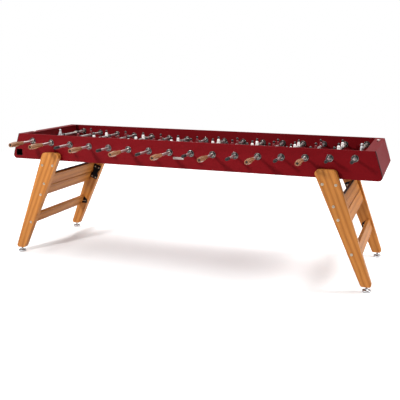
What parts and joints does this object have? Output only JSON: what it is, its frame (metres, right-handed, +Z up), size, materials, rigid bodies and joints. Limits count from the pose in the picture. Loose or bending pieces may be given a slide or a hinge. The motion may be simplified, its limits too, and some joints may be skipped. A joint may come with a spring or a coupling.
{
  "type": "foosball table",
  "caption": "Long foosball table: dark red steel cabinet on splayed wooden legs, with sliding and spinning player rods, wooden grips and a ball return at each end.",
  "frame": {"origin": "on the floor, under the middle of the table", "axes": "+X along the table towards the right-hand goal, +Y across it along the rods, away from the near side, +Z up"},
  "size_m": [2.586, 1.316, 0.8722],
  "materials": {
    "cabinet_red": "deep red powder coat, fine texture, satin",
    "playfield_laminate": "dark red laminate with pale field markings, satin",
    "black_steel": "black powder coat, satin",
    "teak": "oiled golden-brown hardwood with straight grain",
    "grip_wood": "turned hardwood, lightly oiled",
    "rod_assembly": "polished rod with cast figures, wooden grip and rubber cap, as one solid",
    "rod_steel": "polished steel tube",
    "bush_brass": "turned brass sleeve",
    "flange_aluminium": "cast and machined, satin",
    "bolt_steel": "zinc-plated steel, satin",
    "cap_rubber": "black moulded rubber",
    "bumper_rubber": "light grey moulded rubber",
    "figure_white": "white enamel on cast metal",
    "figure_red": "dark red enamel on cast metal",
    "figure_black": "black enamel on cast metal",
    "figure_grey": "light grey enamel on cast metal",
    "foot_steel": "plated steel",
    "foot_rubber": "black moulded rubber",
    "badge_plate": "plain brushed plate, no lettering",
    "marker_plastic": "off-white moulded plastic"
  },
  "bodies": {
    "table": {"playfield": "playfield_laminate", "floor_pan": "cabinet_red", "side_panel_near": "cabinet_red", "side_panel_far": "cabinet_red", "end_panel_left": "cabinet_red", "goal_wall_left": "cabinet_red", "ball_chute_left": "black_steel", "end_panel_right": "cabinet_red", "goal_wall_right": "cabinet_red", "ball_chute_right": "black_steel", "leg_near_left": "teak", "leg_near_right": "teak", "leg_far_left": "teak", "leg_far_right": "teak", "upper_rail_high_left": "teak", "upper_rail_low_left": "teak", "lower_rail_left": "teak", "cross_beam_left": "black_steel", "upper_rail_high_right": "teak", "upper_rail_low_right": "teak", "lower_rail_right": "teak", "cross_beam_right": "black_steel"},
    "bush_01": {"bush_01": "bush_brass"},
    "rod_01": {"rod_01": "rod_assembly"},
    "bush_02": {"bush_02": "bush_brass"},
    "rod_02": {"rod_02": "rod_assembly"},
    "bush_03": {"bush_03": "bush_brass"},
    "rod_03": {"rod_03": "rod_assembly"},
    "bush_04": {"bush_04": "bush_brass"},
    "rod_04": {"rod_04": "rod_assembly"},
    "bush_05": {"bush_05": "bush_brass"},
    "rod_05": {"rod_05": "rod_assembly"},
    "bush_06": {"bush_06": "bush_brass"},
    "rod_06": {"rod_06": "rod_assembly"},
    "bush_07": {"bush_07": "bush_brass"},
    "rod_07": {"rod_07": "rod_assembly"},
    "bush_08": {"bush_08": "bush_brass"},
    "rod_08": {"rod_08": "rod_assembly"},
    "bush_09": {"bush_09": "bush_brass"},
    "rod_09": {"rod_09": "rod_assembly"},
    "bush_10": {"bush_10": "bush_brass"},
    "rod_10": {"rod_10": "rod_assembly"},
    "bush_11": {"bush_11": "bush_brass"},
    "rod_11": {"rod_11": "rod_assembly"},
    "bush_12": {"bush_12": "bush_brass"},
    "rod_12": {"rod_12": "rod_assembly"},
    "bush_13": {"bush_13": "bush_brass"},
    "rod_13": {"rod_13": "rod_assembly"},
    "bush_14": {"bush_14": "bush_brass"},
    "rod_14": {"rod_14": "rod_assembly"},
    "bush_15": {"bush_15": "bush_brass"},
    "rod_15": {"rod_15": "rod_assembly"},
    "bush_16": {"bush_16": "bush_brass"},
    "rod_16": {"rod_16": "rod_assembly"},
    "score_marker_left": {"score_marker_left": "marker_plastic"},
    "score_marker_right": {"score_marker_right": "marker_plastic"},
    "foot_near_left": {"foot_near_left": "foot_steel"},
    "foot_near_right": {"foot_near_right": "foot_steel"},
    "foot_far_left": {"foot_far_left": "foot_steel"},
    "foot_far_right": {"foot_far_right": "foot_steel"}
  },
  "joints": [
    {"name": "rod_01_spin", "type": "hinge", "parent": "table", "child": "bush_01", "pos_m": [-1.125, 0, 0.818], "axis": [0, 1, 0], "continuous": true},
    {"name": "rod_01_slide", "type": "slide", "parent": "bush_01", "child": "rod_01", "axis": [0, 1, 0], "range_m": [-0.112, 0.112]},
    {"name": "rod_02_spin", "type": "hinge", "parent": "table", "child": "bush_02", "pos_m": [-0.975, 0, 0.81153], "axis": [0, 1, 0], "continuous": true},
    {"name": "rod_02_slide", "type": "slide", "parent": "bush_02", "child": "rod_02", "axis": [0, 1, 0], "range_m": [-0.118, 0.106]},
    {"name": "rod_03_spin", "type": "hinge", "parent": "table", "child": "bush_03", "pos_m": [-0.825, 0, 0.80598], "axis": [0, 1, 0], "continuous": true},
    {"name": "rod_03_slide", "type": "slide", "parent": "bush_03", "child": "rod_03", "axis": [0, 1, 0], "range_m": [-0.09, 0.134]},
    {"name": "rod_04_spin", "type": "hinge", "parent": "table", "child": "bush_04", "pos_m": [-0.675, 0, 0.80136], "axis": [0, 1, 0], "continuous": true},
    {"name": "rod_04_slide", "type": "slide", "parent": "bush_04", "child": "rod_04", "axis": [0, 1, 0], "range_m": [-0.125, 0.099]},
    {"name": "rod_05_spin", "type": "hinge", "parent": "table", "child": "bush_05", "pos_m": [-0.525, 0, 0.79766], "axis": [0, 1, 0], "continuous": true},
    {"name": "rod_05_slide", "type": "slide", "parent": "bush_05", "child": "rod_05", "axis": [0, 1, 0], "range_m": [-0.12, 0.104]},
    {"name": "rod_06_spin", "type": "hinge", "parent": "table", "child": "bush_06", "pos_m": [-0.375, 0, 0.79489], "axis": [0, 1, 0], "continuous": true},
    {"name": "rod_06_slide", "type": "slide", "parent": "bush_06", "child": "rod_06", "axis": [0, 1, 0], "range_m": [-0.11, 0.114]},
    {"name": "rod_07_spin", "type": "hinge", "parent": "table", "child": "bush_07", "pos_m": [-0.225, 0, 0.79304], "axis": [0, 1, 0], "continuous": true},
    {"name": "rod_07_slide", "type": "slide", "parent": "bush_07", "child": "rod_07", "axis": [0, 1, 0], "range_m": [-0.085, 0.139]},
    {"name": "rod_08_spin", "type": "hinge", "parent": "table", "child": "bush_08", "pos_m": [-0.075, 0, 0.79212], "axis": [0, 1, 0], "continuous": true},
    {"name": "rod_08_slide", "type": "slide", "parent": "bush_08", "child": "rod_08", "axis": [0, 1, 0], "range_m": [-0.09, 0.134]},
    {"name": "rod_09_spin", "type": "hinge", "parent": "table", "child": "bush_09", "pos_m": [0.075, 0, 0.79212], "axis": [0, 1, 0], "continuous": true},
    {"name": "rod_09_slide", "type": "slide", "parent": "bush_09", "child": "rod_09", "axis": [0, 1, 0], "range_m": [-0.134, 0.09]},
    {"name": "rod_10_spin", "type": "hinge", "parent": "table", "child": "bush_10", "pos_m": [0.225, 0, 0.79304], "axis": [0, 1, 0], "continuous": true},
    {"name": "rod_10_slide", "type": "slide", "parent": "bush_10", "child": "rod_10", "axis": [0, 1, 0], "range_m": [-0.118, 0.106]},
    {"name": "rod_11_spin", "type": "hinge", "parent": "table", "child": "bush_11", "pos_m": [0.375, 0, 0.79489], "axis": [0, 1, 0], "continuous": true},
    {"name": "rod_11_slide", "type": "slide", "parent": "bush_11", "child": "rod_11", "axis": [0, 1, 0], "range_m": [-0.103, 0.121]},
    {"name": "rod_12_spin", "type": "hinge", "parent": "table", "child": "bush_12", "pos_m": [0.525, 0, 0.79766], "axis": [0, 1, 0], "continuous": true},
    {"name": "rod_12_slide", "type": "slide", "parent": "bush_12", "child": "rod_12", "axis": [0, 1, 0], "range_m": [-0.118, 0.106]},
    {"name": "rod_13_spin", "type": "hinge", "parent": "table", "child": "bush_13", "pos_m": [0.675, 0, 0.80136], "axis": [0, 1, 0], "continuous": true},
    {"name": "rod_13_slide", "type": "slide", "parent": "bush_13", "child": "rod_13", "axis": [0, 1, 0], "range_m": [-0.103, 0.121]},
    {"name": "rod_14_spin", "type": "hinge", "parent": "table", "child": "bush_14", "pos_m": [0.825, 0, 0.80598], "axis": [0, 1, 0], "continuous": true},
    {"name": "rod_14_slide", "type": "slide", "parent": "bush_14", "child": "rod_14", "axis": [0, 1, 0], "range_m": [-0.13, 0.094]},
    {"name": "rod_15_spin", "type": "hinge", "parent": "table", "child": "bush_15", "pos_m": [0.975, 0, 0.81153], "axis": [0, 1, 0], "continuous": true},
    {"name": "rod_15_slide", "type": "slide", "parent": "bush_15", "child": "rod_15", "axis": [0, 1, 0], "range_m": [-0.125, 0.099]},
    {"name": "rod_16_spin", "type": "hinge", "parent": "table", "child": "bush_16", "pos_m": [1.125, 0, 0.818], "axis": [0, 1, 0], "continuous": true},
    {"name": "rod_16_slide", "type": "slide", "parent": "bush_16", "child": "rod_16", "axis": [0, 1, 0], "range_m": [-0.113, 0.111]},
    {"name": "score_marker_left_slide", "type": "slide", "parent": "table", "child": "score_marker_left", "axis": [0, 1, 0], "range_m": [-0.08, 0.08]},
    {"name": "score_marker_right_slide", "type": "slide", "parent": "table", "child": "score_marker_right", "axis": [0, 1, 0], "range_m": [-0.08, 0.08]},
    {"name": "foot_near_left_turn", "type": "hinge", "parent": "table", "child": "foot_near_left", "pos_m": [-1.2415, -0.395, 0], "axis": [0, 0, 1], "continuous": true},
    {"name": "foot_near_right_turn", "type": "hinge", "parent": "table", "child": "foot_near_right", "pos_m": [1.2415, -0.395, 0], "axis": [0, 0, 1], "continuous": true},
    {"name": "foot_far_left_turn", "type": "hinge", "parent": "table", "child": "foot_far_left", "pos_m": [-1.2415, 0.395, 0], "axis": [0, 0, 1], "continuous": true},
    {"name": "foot_far_right_turn", "type": "hinge", "parent": "table", "child": "foot_far_right", "pos_m": [1.2415, 0.395, 0], "axis": [0, 0, 1], "continuous": true}
  ]
}
